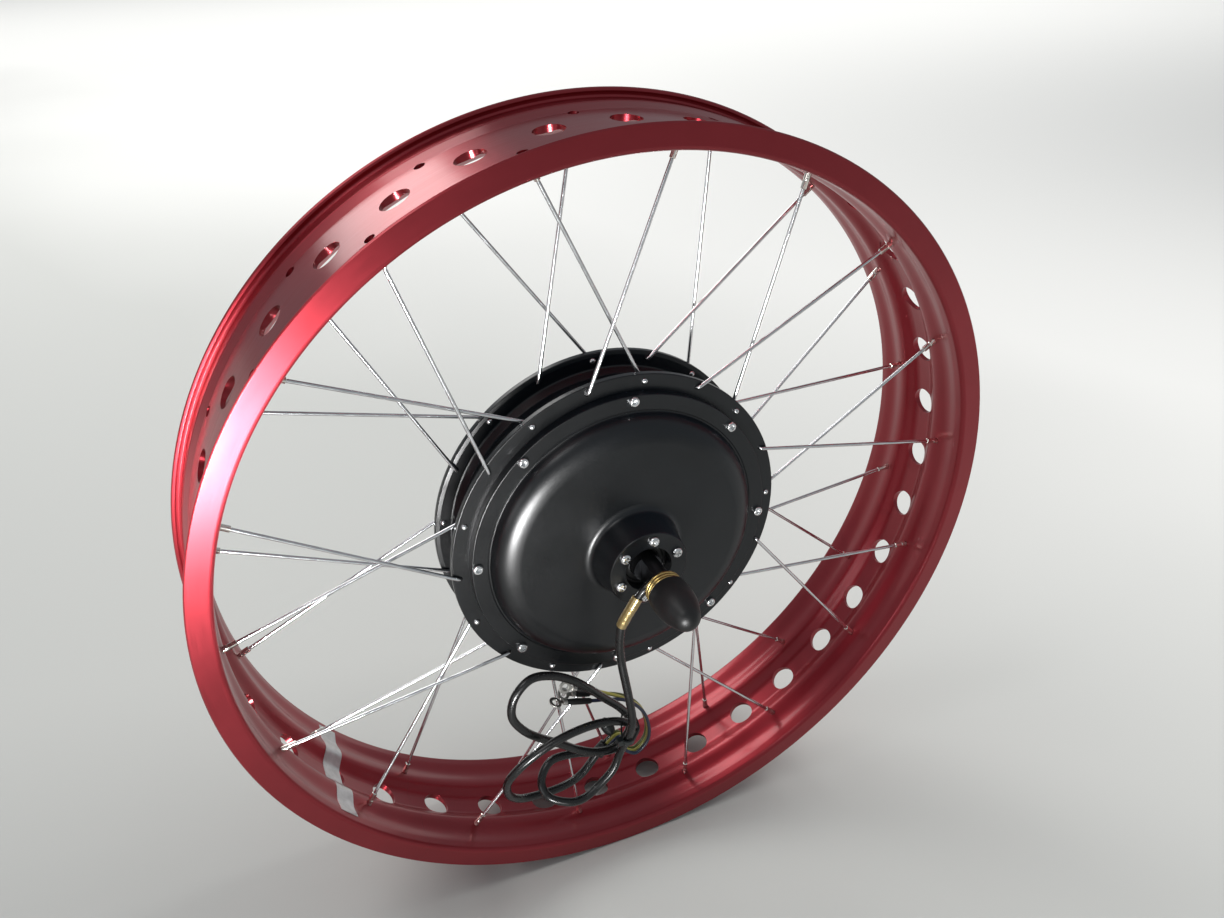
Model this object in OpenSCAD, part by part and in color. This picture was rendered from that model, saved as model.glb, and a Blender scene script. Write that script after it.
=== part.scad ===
// Direct-drive hub motor wheel for a fat tyre: rim, spokes, motor, axle and cable.
// Millimetres. The origin is the wheel's centre, the axle lies along Y and +Z is up.
// The disc brake and the cable are on the -Y side.
// Wheel parts are drawn about local z and turned once, so local z = -Y there.

/* [Rim] */
// Outside diameter over the bead hooks
rim_d = 572; // [568:1:576]
// Width over the side walls
rim_w = 100; // [98:1:102]
// Number of lightening holes in the bed
cutout_count = 36; // [18:18:36]
// Diameter of a lightening hole
cutout_d = 20; // [12:0.5:21]
// Diameter of the valve hole
valve_d = 8.5; // [6.5:0.5:9]

/* [Motor] */
// Diameter of the spoke flanges
flange_d = 243.5; // [242:0.5:246]
// Distance between the outer faces of the flanges
hub_w = 44; // [43.6:0.1:44.4]
// Outside diameter of the drum between the flanges
drum_d = 214; // [213:0.5:216]
// Outside diameter of each cover
cover_d = 220; // [218:0.5:222]
// Number of screws around each cover
cover_screw_count = 8; // [4:1:12]
// Number of magnets around the rotor
magnet_count = 46; // [36:2:46]
// Number of teeth and coils on the stator
tooth_count = 51; // [51:3:51]

/* [Spokes] */
// Number of spokes on each side
spokes_per_side = 18; // [18:18:18]
// Diameter of a spoke
spoke_d = 2.5; // [2:0.1:2.5]
// Diameter of the circle of spoke holes in each flange
spoke_circle_d = 233; // [231:0.5:235]

/* [Axle] */
// Distance between the two shoulders that meet the fork
dropout_w = 175; // [172:1:176]
// Overall length of the axle
axle_l = 224; // [220:1:226]
// Diameter of the threaded ends
thread_d = 14; // [13.6:0.1:14]
// Width across the two flats on the threaded ends
flats_w = 10; // [9:0.5:11]
// Diameter of the washers
washer_d = 25.4; // [24:0.2:26]

/* [Cable] */
// Diameter of the motor cable
cable_d = 6; // [5:0.5:6]
// Diameter of each phase wire
wire_d = 2.6; // [2:0.2:2.6]

/* [Hidden] */
$fn = 64;
// How much fatter than its rods the ball at a spoke's bend is.
corner_swell = 1.03;

// Rim section: radii from the axle, and distances from the wheel's middle plane.
rim_r = rim_d / 2;
rim_half = rim_w / 2;
bed_r = rim_r - 11.5;
bed_top_r = bed_r + 3;
bed_half = 5;
ridge_r = bed_r - 6.3;
ridge_a = 20;
valley_r = bed_r - 4.1;
valley_a = 33;
wall_foot_r = bed_r - 5.3;
wall_foot_a = rim_half - 7;
edge_r = bed_r - 4.9;
edge_round = 3.5;
cutout_phase = 7.5;
valve_angle = 52.5;

// Hub
flange_r = flange_d / 2;
flange_out = hub_w / 2;
flange_in = flange_out - 5;
shell_in_r = 102;
drum_r = drum_d / 2;
cover_r = cover_d / 2;
cover_ring_top = flange_out + 6.5;
disc_face = dropout_w / 2 - 20;
boss_r = 27.7;
boss_bore_r = 16.5;
cover_screw_circle_r = 106.2;
cover_screw_phase = -3;
disc_screw_circle_r = 22;
disc_screw_phase = 22;

// Bearing, of the 6204 size
bearing_in_r = 10;
bearing_out_r = 23.5;
bearing_a = 38;
bearing_w = 14;
ball_r = 3.9;
ball_circle_r = 16.75;

// Spokes and nipples. A spoke is named by where its first stretch lies on the flange.
spoke_r = spoke_d / 2;
spoke_circle_r = spoke_circle_d / 2;
spoke_row = 24;
spoke_aim_r = rim_r - 11;
spoke_step = 720 / spokes_per_side;
spoke_bend = 1.6;
spoke_end = -1.5;
nipple_in = 16;
nipple_seat = -3.9;
disc_inner_hub_angle = 2;
disc_inner_rim_angle = 22.5;
disc_outer_hub_angle = 22;
disc_outer_rim_angle = 2.5;
plain_outer_hub_angle = 12;
plain_outer_rim_angle = 32.5;
plain_inner_hub_angle = 32;
plain_inner_rim_angle = 12.5;

// Stator
stator_half = 17.5;
stator_r = 94.2;
stator_bore_r = 70;
tooth_root_r = 76;
tooth_neck_r = 91.5;
magnet_in_r = 95;
magnet_t = 2.8;

// Axle
core_r = 12.5;
core_half = 24;
spacer_r = 11.5;
shoulder = dropout_w / 2;
flats_a = 66;
thread_r = thread_d / 2;
cable_bore_r = cable_d / 2 + 0.3;
cable_angle = 215;
cable_out_a = 78;
cable_in_a = 30;
washer_t = 2.3;
washer_a = shoulder + 0.1;
nut_a = 95;
nut_h = 11;
nut_across = 21;
cap_tip = axle_l / 2 + 18;
cap_nose_r = 9.8;

// The motor cable's way, from its sleeve to the boot where its wires part.
cable_route = [[-24, -76, -34], [-25, -76, -50], [-24, -77, -66], [-22, -80, -83], [-20, -83, -100],
    [-19, -85, -117], [-21, -82, -134], [-25, -78, -150], [-31, -79, -164], [-42, -80, -174],
    [-55, -82, -180], [-67, -82, -179], [-80, -76, -174], [-82, -66, -167], [-72, -59, -158],
    [-54, -58, -159], [-39, -59, -163], [-24, -60, -164], [-12, -60, -155], [-9, -60, -141],
    [-17, -60, -126], [-29, -60, -112], [-41, -62, -97], [-54, -63, -83], [-69, -64, -72],
    [-86, -67, -66], [-99, -70, -75], [-102, -71, -91], [-94, -71, -107], [-82, -70, -120],
    [-68, -69, -132], [-54, -68, -145], [-39, -68, -154], [-24, -69, -155], [-13, -71, -146],
    [-13, -75, -132], [-24, -77, -121], [-40, -78, -115], [-58, -79, -114], [-76, -80, -117],
    [-93, -80, -125], [-105, -77, -138], [-109, -71, -154], [-106, -65, -172], [-96, -60, -185],
    [-80, -57, -191], [-63, -56, -192], [-47, -55, -187], [-33, -53, -173]];
// The sleeve's way over the start of the cable, and the boot at its end.
sleeve_route = [[-13, -78, -12], [-17, -78, -18.5], [-21, -77, -26.5], [-24, -76, -34]];
boot_end = [-25, -52, -167];
// The way that the three phase wires share, side by side in depth, and where each one ends.
wire_run = [[-25, -52, -167], [-15, -49, -164], [-9, -45, -172], [-8, -44, -184], [2, -45, -192],
    [12, -45, -182], [12, -45, -164], [4, -47, -144], [-12, -50, -126]];
wire_gap = 2.9;
terminal_starts = [[-38, -54, -116], [-36, -52, -108], [-36, -47, -116]];
terminal_ends = [[-57, -56, -108], [-48, -52, -102], [-47, -47, -112]];
terminal_spins = [80, 20, 50];
hall_plug_from = [-21, -52, -156];
hall_plug_to = [-27, -52, -143];
hall_lead_route = [[-27, -52, -164.6], [-24.5, -51.7, -162.5], [-21.5, -52, -159.5], [-20.5, -52, -156]];

// Points of a quarter bend from p to q that leaves p towards c.
function bend(p, c, q, n) =
    [for (i = [0:n]) let (t = i / n) (1 - t) * (1 - t) * p + 2 * t * (1 - t) * c + t * t * q];
// The same outline on the other side of the middle plane, in the opposite order.
function mirrored(points) =
    [for (i = [len(points) - 1:-1:0]) [points[i][0], -points[i][1]]];
function polar(r, angle, a) = [r * cos(angle), r * sin(angle), a];
function unit(v) = v / norm(v);

// Direction of a route at one of its points.
function heading(route, i) =
    unit(route[min(i + 1, len(route) - 1)] - route[max(i - 1, 0)]);
// One ring of a tube, square to the route.
function ring_points(centre, dir, r, sides) =
    let (side = unit(cross(dir, [0.2, 1, 0.1])), up = cross(side, dir))
    [for (k = [0:sides - 1]) centre + r * (cos(360 * k / sides) * side + sin(360 * k / sides) * up)];

// A round tube swept along a route, closed at both ends.
module swept(route, r, sides) {
    rings = len(route);
    points = [for (i = [0:rings - 1]) each ring_points(route[i], heading(route, i), r, sides)];
    walls = [for (i = [0:rings - 2], k = [0:sides - 1])
        let (m = (k + 1) % sides)
        [i * sides + k, i * sides + m, (i + 1) * sides + m, (i + 1) * sides + k]];
    first = [[for (k = [sides - 1:-1:0]) k]];
    last = [[for (k = [0:sides - 1]) (rings - 1) * sides + k]];
    polyhedron(points, concat(walls, first, last), convexity = 10);
}

// Puts local z on the line from p to q, with the origin at p.
module along(p, q) {
    d = q - p;
    translate(p) rotate([0, acos(d[2] / norm(d)), atan2(d[1], d[0])]) children();
}

module rod(p, q, r) {
    along(p, q) cylinder(h = norm(q - p), r = r);
}

// Wheel parts: local z becomes -Y.
module on_axle() {
    rotate([90, 0, 0]) children();
}

module both_sides() {
    children();
    mirror([0, 0, 1]) children();
}

module around(count, phase, r) {
    for (i = [0:count - 1]) rotate([0, 0, phase + i * 360 / count]) translate([r, 0, 0]) children();
}

// The point at the rim that a spoke aims for, and the one on the flange where it bends.
function bed_point(rim_angle) = polar(spoke_aim_r, rim_angle, spoke_row);
function bend_point(hub_angle, inner) =
    polar(spoke_circle_r, hub_angle, inner ? flange_in - spoke_bend : flange_out + spoke_bend);

// Every spoke of one kind, or what goes on its line at the rim: local z points outwards along it.
module at_bed(hub_angle, rim_angle, inner) {
    for (i = [0:spokes_per_side / 2 - 1]) {
        from = bend_point(hub_angle + i * spoke_step, inner);
        to = bed_point(rim_angle + i * spoke_step);
        along(to, to + (to - from)) children();
    }
}

module at_disc_side_beds() {
    at_bed(disc_inner_hub_angle, disc_inner_rim_angle, true) children();
    at_bed(disc_outer_hub_angle, disc_outer_rim_angle, false) children();
}

module at_plain_side_beds() {
    mirror([0, 0, 1]) {
        at_bed(plain_inner_hub_angle, plain_inner_rim_angle, true) children();
        at_bed(plain_outer_hub_angle, plain_outer_rim_angle, false) children();
    }
}

// A smooth step in radius between two places across the rim.
function wave(r0, a0, r1, a1, n) =
    [for (i = [1:n]) [r0 + (r1 - r0) * (1 - cos(180 * i / n)) / 2, a0 + (a1 - a0) * i / n]];
// Half of the rim's surface that faces the hub, from the bed over a ridge to the side wall.
function rim_inner_half() = concat(
    [[bed_r, bed_half]],
    wave(bed_r, bed_half, ridge_r, ridge_a, 7),
    wave(ridge_r, ridge_a, valley_r, valley_a, 5),
    wave(valley_r, valley_a, wall_foot_r, wall_foot_a, 4),
    [for (t = [0:30:90])
        [edge_r + edge_round * (1 - cos(t)), rim_half - edge_round * (1 - sin(t))]]);
// Half of the rim's surface on the tyre side, from the lip to the middle.
function rim_outer_half() = [
    [rim_r - 1, rim_half], [rim_r, rim_half - 1.1], [rim_r - 0.8, rim_half - 2.6],
    [rim_r - 2.2, rim_half - 3.1], [rim_r - 3.4, rim_half - 2.4], [rim_r - 4.8, rim_half - 2.1],
    [rim_r - 6, rim_half - 2.8], [rim_r - 6.5, rim_half - 4], [rim_r - 6.5, rim_half - 12],
    [rim_r - 5.9, rim_half - 13.2], [rim_r - 6.4, rim_half - 14.5], [bed_top_r, rim_half - 23]];
function rim_outline() =
    let (half = concat(rim_inner_half(), rim_outer_half())) concat(half, mirrored(half));
// The hollow in each side of the rim.
function rim_box_outline() = [
    [bed_top_r - 2.1, ridge_a - 2.5], [ridge_r + 2, ridge_a], [valley_r + 2, valley_a],
    [wall_foot_r + 2.1, wall_foot_a], [edge_r + 2.1, wall_foot_a + 2.6],
    [edge_r + 3.8, rim_half - 1.8], [rim_r - 8.4, rim_half - 1.8], [rim_r - 8.2, rim_half - 13],
    [rim_r - 8.6, rim_half - 14.5], [bed_top_r - 2.1, rim_half - 23]];

// A nipple's hole in the inner wall, and the wider one behind it that lets the nipple through.
module nipple_hole() {
    translate([0, 0, -9]) cylinder(h = 7, r = 2.3, $fn = 24);
    translate([0, 0, -1]) cylinder(h = 12, r = 3.5, $fn = 32);
}

module rim() {
    color("crimson") on_axle() difference() {
        rotate_extrude($fn = 180) polygon(rim_outline());
        both_sides() rotate_extrude($fn = 180) polygon(rim_box_outline());
        around(cutout_count, cutout_phase, bed_r - 5) rotate([0, 90, 0]) cylinder(h = 12, d = cutout_d);
        rotate([0, 0, valve_angle]) translate([bed_r - 5, 0, 0]) rotate([0, 90, 0])
            cylinder(h = 12, d = valve_d);
        at_disc_side_beds() nipple_hole();
        at_plain_side_beds() nipple_hole();
    }
}

// Blank sticker across the side of the rim that faces the hub.
module rim_label() {
    half = [for (p = rim_inner_half()) if (p[1] < wall_foot_a + 0.1) p];
    face = concat(mirrored(half), half);
    under = [for (i = [len(face) - 1:-1:0]) face[i] - [0.3, 0]];
    color("silver") on_axle() rotate([0, 0, -144.6])
        rotate_extrude(angle = 3.4, $fn = 180) polygon(concat(face, under));
}

function shell_half() = [
    [flange_r, flange_out], [flange_r, flange_in + 1], [flange_r - 2.8, flange_in],
    [drum_r + 4, flange_in], [drum_r + 2, flange_in - 2.5], [drum_r, flange_in - 5]];

module hub_shell() {
    color([0.1, 0.1, 0.11]) on_axle() difference() {
        rotate_extrude($fn = 180)
            polygon(concat([[shell_in_r, flange_out]], shell_half(),
                mirrored(concat([[shell_in_r, flange_out]], shell_half()))));
        for (i = [0:spokes_per_side - 1]) {
            rotate([0, 0, disc_inner_hub_angle + i * 360 / spokes_per_side])
                translate([spoke_circle_r, 0, flange_in - 1])
                cylinder(h = 7, r = spoke_r + 0.2, $fn = 24);
            rotate([0, 0, plain_outer_hub_angle + i * 360 / spokes_per_side])
                translate([spoke_circle_r, 0, -flange_out - 1])
                cylinder(h = 7, r = spoke_r + 0.2, $fn = 24);
        }
        both_sides() around(cover_screw_count, cover_screw_phase, cover_screw_circle_r)
            translate([0, 0, flange_out - 7]) cylinder(h = 8, r = 2.05, $fn = 24);
    }
}

module magnet_ring() {
    color("dimgray") on_axle() translate([0, 0, -19]) difference() {
        cylinder(h = 38, r = shell_in_r - 0.05);
        translate([0, 0, -1]) cylinder(h = 40, r = magnet_in_r + 3);
    }
}

module rotor_magnets() {
    color("lightgray") on_axle() around(magnet_count, 0, magnet_in_r + magnet_t / 2)
        cube([magnet_t, 12, 37], center = true);
}

// Section of a cover: the outside from the rim of the cover to the boss, then the inside.
function cover_outline() = concat(
    [[cover_r, flange_out], [cover_r, cover_ring_top - 0.6], [cover_r - 0.6, cover_ring_top],
     [99.2, cover_ring_top], [98.7, cover_ring_top - 0.5], [97.7, cover_ring_top - 0.5]],
    bend([97.2, cover_ring_top + 0.5], [95, 39.8], [80, 41.6], 7),
    bend([37, 43.6], [32.2, 44], [31.6, 48], 4),
    [[28.3, disc_face - 0.6], [boss_r, disc_face], [boss_bore_r, disc_face], [boss_bore_r, 53.5],
     [18, 53.5], [18, 52], [bearing_out_r, 52], [bearing_out_r, 36.5], [28, 36.5], [28, 38.5],
     [40, 38.5]],
    bend([78, 37.2], [90, 36.2], [95.5, 24], 4),
    [[96.8, 19.2], [shell_in_r - 0.1, 19.2], [shell_in_r - 0.1, flange_out]]);

module cover() {
    difference() {
        rotate_extrude($fn = 180) polygon(cover_outline());
        around(cover_screw_count, cover_screw_phase, cover_screw_circle_r)
            translate([0, 0, flange_out - 1]) cylinder(h = 10, r = 2.2, $fn = 24);
    }
}

module disc_side_cover() {
    color([0.09, 0.09, 0.1]) on_axle() difference() {
        cover();
        around(6, disc_screw_phase, disc_screw_circle_r)
            translate([0, 0, disc_face - 10]) cylinder(h = 11, r = 2.55, $fn = 24);
    }
}

module plain_side_cover() {
    color([0.09, 0.09, 0.1]) on_axle() mirror([0, 0, 1]) cover();
}

module cover_screw() {
    difference() {
        union() {
            translate([0, 0, cover_ring_top]) rotate_extrude($fn = 32)
                polygon([[0, 0], [3.65, 0], [3.65, 1.2], [3.1, 2.3], [2.3, 2.7], [0, 2.7]]);
            translate([0, 0, flange_out - 6.8])
                cylinder(h = cover_ring_top - flange_out + 7, r = 2, $fn = 24);
        }
        translate([0, 0, cover_ring_top + 1]) cylinder(h = 2, r = 1.45, $fn = 6);
    }
}

module disc_side_cover_screws() {
    color("lightgray") on_axle()
        around(cover_screw_count, cover_screw_phase, cover_screw_circle_r) cover_screw();
}

module plain_side_cover_screws() {
    color("lightgray") on_axle() mirror([0, 0, 1])
        around(cover_screw_count, cover_screw_phase, cover_screw_circle_r) cover_screw();
}

module disc_screw() {
    difference() {
        union() {
            rotate_extrude($fn = 32)
                polygon([[0, 0], [3.75, 0], [3.75, 1.1], [3.1, 2.1], [2.2, 2.5], [0, 2.5]]);
            translate([0, 0, -9.5]) cylinder(h = 9.6, r = 2.5, $fn = 24);
        }
        translate([-2.2, -0.45, 1.2]) cube([4.4, 0.9, 2]);
        translate([-0.45, -2.2, 1.2]) cube([0.9, 4.4, 2]);
    }
}

module disc_screws() {
    color("lightgray") on_axle() around(6, disc_screw_phase, disc_screw_circle_r)
        translate([0, 0, disc_face]) disc_screw();
}

// Bearing parts, drawn on the disc side.
module ball_groove(gap) {
    translate([0, 0, bearing_w / 2]) rotate_extrude()
        translate([ball_circle_r, 0]) circle(r = ball_r + gap);
}

module outer_race() {
    translate([0, 0, bearing_a]) difference() {
        cylinder(h = bearing_w, r = bearing_out_r - 0.02);
        translate([0, 0, -1]) cylinder(h = bearing_w + 2, r = 20);
        ball_groove(0.35);
    }
}

module inner_race() {
    translate([0, 0, bearing_a]) difference() {
        cylinder(h = bearing_w, r = 13.5);
        translate([0, 0, -1]) cylinder(h = bearing_w + 2, r = bearing_in_r + 0.02);
        ball_groove(0.1);
    }
}

module bearing_balls() {
    around(8, 0, ball_circle_r) translate([0, 0, bearing_a + bearing_w / 2]) sphere(r = ball_r);
}

module bearing_shields() {
    for (a = [bearing_a + 0.3, bearing_a + bearing_w - 0.8]) translate([0, 0, a]) difference() {
        cylinder(h = 0.5, r = 19.95);
        translate([0, 0, -1]) cylinder(h = 3, r = 14);
    }
}

module seal() {
    translate([0, 0, 54]) difference() {
        cylinder(h = 6, r = boss_bore_r - 0.05);
        translate([0, 0, -1]) cylinder(h = 8, r = bearing_in_r + 0.35);
    }
}

module disc_side_outer_race() {
    color("silver") on_axle() outer_race();
}

module plain_side_outer_race() {
    color("silver") on_axle() mirror([0, 0, 1]) outer_race();
}

module disc_side_inner_race() {
    color("silver") on_axle() inner_race();
}

module plain_side_inner_race() {
    color("silver") on_axle() mirror([0, 0, 1]) inner_race();
}

module disc_side_bearing_balls() {
    color("lightgray") on_axle() bearing_balls();
}

module plain_side_bearing_balls() {
    color("lightgray") on_axle() mirror([0, 0, 1]) bearing_balls();
}

module disc_side_bearing_shields() {
    color("gray") on_axle() bearing_shields();
}

module plain_side_bearing_shields() {
    color("gray") on_axle() mirror([0, 0, 1]) bearing_shields();
}

module disc_side_seal() {
    color([0.05, 0.05, 0.05]) on_axle() seal();
}

module plain_side_seal() {
    color([0.05, 0.05, 0.05]) on_axle() mirror([0, 0, 1]) seal();
}

// One spoke: the head and neck in the flange, the bend, and the straight stretch into its nipple.
module spoke(hub_angle, rim_angle, inner) {
    corner = bend_point(hub_angle, inner);
    bed = bed_point(rim_angle);
    face = inner ? flange_out : flange_in;
    out = inner ? 1 : -1;
    rod(corner, bed + spoke_end * unit(bed - corner), spoke_r, $fn = 24);
    translate(corner) sphere(r = corner_swell * spoke_r, $fn = 24);
    rod(corner, polar(spoke_circle_r, hub_angle, face + 0.2 * out), spoke_r, $fn = 24);
    along(polar(spoke_circle_r, hub_angle, face), polar(spoke_circle_r, hub_angle, face + out))
        rotate_extrude($fn = 24) polygon([[0, 0], [2.2, 0], [2.2, 0.8], [1.6, 1.5], [0, 1.7]]);
}

module spokes(hub_angle, rim_angle, inner) {
    for (i = [0:spokes_per_side / 2 - 1])
        spoke(hub_angle + i * spoke_step, rim_angle + i * spoke_step, inner);
}

module disc_side_inner_spokes() {
    color("gainsboro") on_axle() spokes(disc_inner_hub_angle, disc_inner_rim_angle, true);
}

module disc_side_outer_spokes() {
    color("gainsboro") on_axle() spokes(disc_outer_hub_angle, disc_outer_rim_angle, false);
}

module plain_side_inner_spokes() {
    color("gainsboro") on_axle() mirror([0, 0, 1])
        spokes(plain_inner_hub_angle, plain_inner_rim_angle, true);
}

module plain_side_outer_spokes() {
    color("gainsboro") on_axle() mirror([0, 0, 1])
        spokes(plain_outer_hub_angle, plain_outer_rim_angle, false);
}

module nipple() {
    rotate_extrude($fn = 24)
        polygon([[1.3, -nipple_in], [1.9, -nipple_in], [2.1, -nipple_in + 0.6], [2.1, nipple_seat],
            [3.1, nipple_seat + 1], [3.1, nipple_seat + 2.6], [2.3, nipple_seat + 3.2],
            [1.3, nipple_seat + 3.2]]);
}

module disc_side_nipples() {
    color("silver") on_axle() at_disc_side_beds() nipple();
}

module plain_side_nipples() {
    color("silver") on_axle() at_plain_side_beds() nipple();
}

module axle() {
    key_l = 30;
    out_dir = polar(1, cable_angle, 0);
    color([0.16, 0.16, 0.17]) on_axle() difference() {
        union() {
            translate([0, 0, -core_half]) cylinder(h = 2 * core_half, r = core_r);
            translate([0, 0, -bearing_a]) cylinder(h = 2 * bearing_a, r = spacer_r);
            translate([0, 0, -shoulder]) cylinder(h = 2 * shoulder, r = bearing_in_r);
            translate([0, 0, -axle_l / 2]) cylinder(h = axle_l, r = thread_r);
        }
        both_sides() for (x = [flats_w / 2, -flats_w / 2 - 10])
            translate([x, -12, flats_a]) cube([10, 24, axle_l / 2 - flats_a + 1]);
        translate([-3, core_r - 3, -key_l / 2]) cube([6, 4, key_l]);
        translate([0, 0, cable_in_a - 4.5])
            cylinder(h = cable_out_a - cable_in_a + 9, r = cable_bore_r + 0.4, $fn = 32);
        for (a = [cable_in_a, cable_out_a])
            along([0, 0, a], [0, 0, a] + out_dir) cylinder(h = 20, r = cable_bore_r, $fn = 32);
    }
}

module axle_key() {
    color("gray") on_axle() translate([-2.95, core_r - 2.95, -14.9]) cube([5.9, 4.9, 29.8]);
}

module stator_support() {
    color("silver") on_axle() difference() {
        rotate_extrude($fn = 96)
            polygon([[core_r + 0.02, -20], [20, -20], [20, -4], [64, -4], [64, -16],
                [stator_bore_r - 0.05, -16], [stator_bore_r - 0.05, 16], [64, 16], [64, 4],
                [20, 4], [20, 20], [core_r + 0.02, 20]]);
        around(6, 30, 42) translate([0, 0, -6]) cylinder(h = 12, r = 12);
        translate([-3, core_r - 1, -21]) cube([6, 3.1, 42]);
    }
}

// Outline of one slot in the stator sheets, between two T-shaped teeth. Each point is a radius and
// half of the slot's width there.
function slot_outline(angle) =
    let (side = [[stator_r, 1.1], [tooth_neck_r + 0.8, 1.1], [tooth_neck_r, 3.1], [tooth_root_r, 2.1]])
    [for (p = side) polar(p[0], angle - asin(p[1] / p[0]), 0),
     for (i = [3:-1:0]) polar(side[i][0], angle + asin(side[i][1] / side[i][0]), 0)];

module stator_laminations() {
    outline = [for (i = [0:tooth_count - 1])
        each [for (p = slot_outline(i * 360 / tooth_count)) [p[0], p[1]]]];
    color("slategray") on_axle() difference() {
        translate([0, 0, -stator_half]) linear_extrude(2 * stator_half) polygon(outline);
        translate([0, 0, -stator_half - 1]) cylinder(h = 2 * stator_half + 2, r = stator_bore_r);
    }
}

module stator_coils() {
    color("peru") on_axle() around(tooth_count, 180 / tooth_count, 77.5) difference() {
        translate([0, -4.5, -22.5]) cube([13, 9, 45]);
        translate([-1, -2.75, -17.7]) cube([15, 5.5, 35.4]);
    }
}

module hall_sensor_board() {
    color("darkgreen") on_axle() rotate([0, 0, 180]) {
        translate([70.6, -12, stator_half + 0.1]) cube([4.4, 24, 1.6]);
        for (y = [-8, 0, 8]) translate([71.3, y - 2, stator_half + 1.7]) cube([3, 4, 1.5]);
    }
}

// The lead bundle inside the motor, from the axle's inner cable hole to the coils.
module motor_leads() {
    route = [polar(7, cable_angle, cable_in_a), polar(30, cable_angle, cable_in_a),
        polar(78, cable_angle, 26.5), polar(84, cable_angle, 25.2)];
    color([0.2, 0.2, 0.22]) on_axle() swept(route, 2.4, 12);
}

module washers() {
    for (i = [0:2]) translate([0, 0, washer_a + i * (washer_t + 0.1)]) difference() {
        cylinder(h = washer_t, d = washer_d);
        translate([0, 0, -1]) cylinder(h = washer_t + 2, r = thread_r + 0.2);
    }
}

module nut() {
    translate([0, 0, nut_a]) difference() {
        cylinder(h = nut_h, r = nut_across / 2 / cos(30), $fn = 6);
        translate([0, 0, -1]) cylinder(h = nut_h + 2, r = thread_r + 0.05);
    }
}

// Rubber bullet cap over the nut.
module cap() {
    rotate_extrude($fn = 96) polygon(concat(
        [[12.5, nut_a + 0.1], [13.1, nut_a + 0.1], [13.6, nut_a + 3], [13.9, nut_a + 8],
         [13.4, nut_a + 15], [12.3, nut_a + 20], [10.9, nut_a + 24]],
        [for (t = [15:15:90])
            [cap_nose_r * cos(t), cap_tip - cap_nose_r + cap_nose_r * sin(t)]],
        [[0, axle_l / 2 + 1], [7.4, axle_l / 2 + 1], [7.4, nut_a + nut_h + 1],
         [12.5, nut_a + nut_h + 1]]));
}

module disc_side_washers() {
    color("goldenrod") on_axle() washers();
}

module plain_side_washers() {
    color("goldenrod") on_axle() mirror([0, 0, 1]) washers();
}

module disc_side_nut() {
    color("silver") on_axle() nut();
}

module plain_side_nut() {
    color("silver") on_axle() mirror([0, 0, 1]) nut();
}

module disc_side_cap() {
    color([0.08, 0.08, 0.08]) on_axle() cap();
}

module plain_side_cap() {
    color([0.08, 0.08, 0.08]) on_axle() mirror([0, 0, 1]) cap();
}

// The cable where it runs inside the axle and out to its sleeve.
module cable_inner_run() {
    color([0.1, 0.1, 0.1])
        swept([[0, -cable_in_a - 4, 0], [0, -cable_out_a + 2, 0], [-3, -cable_out_a, -2],
            [-9, -cable_out_a - 1, -6], sleeve_route[0]], cable_d / 2 - 0.1, 12);
}

module cable_sleeve() {
    color("darkkhaki") swept(sleeve_route, cable_d / 2 + 0.8, 12);
}

module motor_cable() {
    color([0.07, 0.07, 0.07]) swept(cable_route, cable_d / 2, 10);
}

// Nylon tie round the three runs of cable that meet below the hub.
module cable_tie() {
    centres = [[-21, -82], [-13, -74], [-11, -60]];
    color([0.12, 0.12, 0.12]) translate([0, 0, -137]) {
        linear_extrude(4) difference() {
            hull() for (c = centres) translate(c) circle(r = cable_d / 2 + 1.8, $fn = 32);
            hull() for (c = centres) translate(c) circle(r = cable_d / 2 + 0.6, $fn = 32);
        }
        translate([-29.5, -84.5, -0.5]) cube([4.4, 5, 5]);
    }
}

module wire_boot() {
    color([0.1, 0.1, 0.1]) rod(cable_route[len(cable_route) - 1], boot_end, 5.2);
}

// One phase wire: the shared way shifted in depth, then its own terminal.
module phase_wire(shift, last) {
    swept(concat([for (p = wire_run) p + [0, shift, 0]], [last]), wire_d / 2, 8);
}

module yellow_wire() {
    color("gold") phase_wire(0, terminal_starts[1]);
}

module green_wire() {
    color("olivedrab") phase_wire(wire_gap, terminal_starts[2]);
}

module blue_wire() {
    color("midnightblue") phase_wire(-wire_gap, terminal_starts[0]);
}

module terminal_sleeves() {
    color([0.1, 0.1, 0.1])
        for (i = [0:2]) rod(terminal_starts[i], terminal_ends[i], 2.3, $fn = 24);
}

// Crimp barrel, tongue and eye, along local z.
module ring_terminal() {
    cylinder(h = 3, r = 1.9, $fn = 24);
    translate([-1.8, -0.5, 2]) cube([3.6, 1, 5]);
    difference() {
        translate([0, 0.5, 9.5]) rotate([90, 0, 0]) cylinder(h = 1, r = 4.7, $fn = 32);
        translate([0, 1, 9.5]) rotate([90, 0, 0]) cylinder(h = 2, r = 2.6, $fn = 32);
    }
}

module ring_terminals() {
    color("silver") for (i = [0:2])
        along(terminal_ends[i], 2 * terminal_ends[i] - terminal_starts[i])
            rotate([0, 0, terminal_spins[i]]) ring_terminal();
}

module hall_lead() {
    color([0.1, 0.1, 0.1]) swept(hall_lead_route, 1, 8);
}

module hall_plug() {
    color([0.06, 0.1, 0.09]) along(hall_plug_from, hall_plug_to)
        rotate_extrude($fn = 48)
            polygon([[0, 0], [3, 0], [4.2, 2], [4.2, 4], [4.6, 4], [4.6, 12], [3.9, 13.8], [0, 14.3]]);
}

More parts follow.
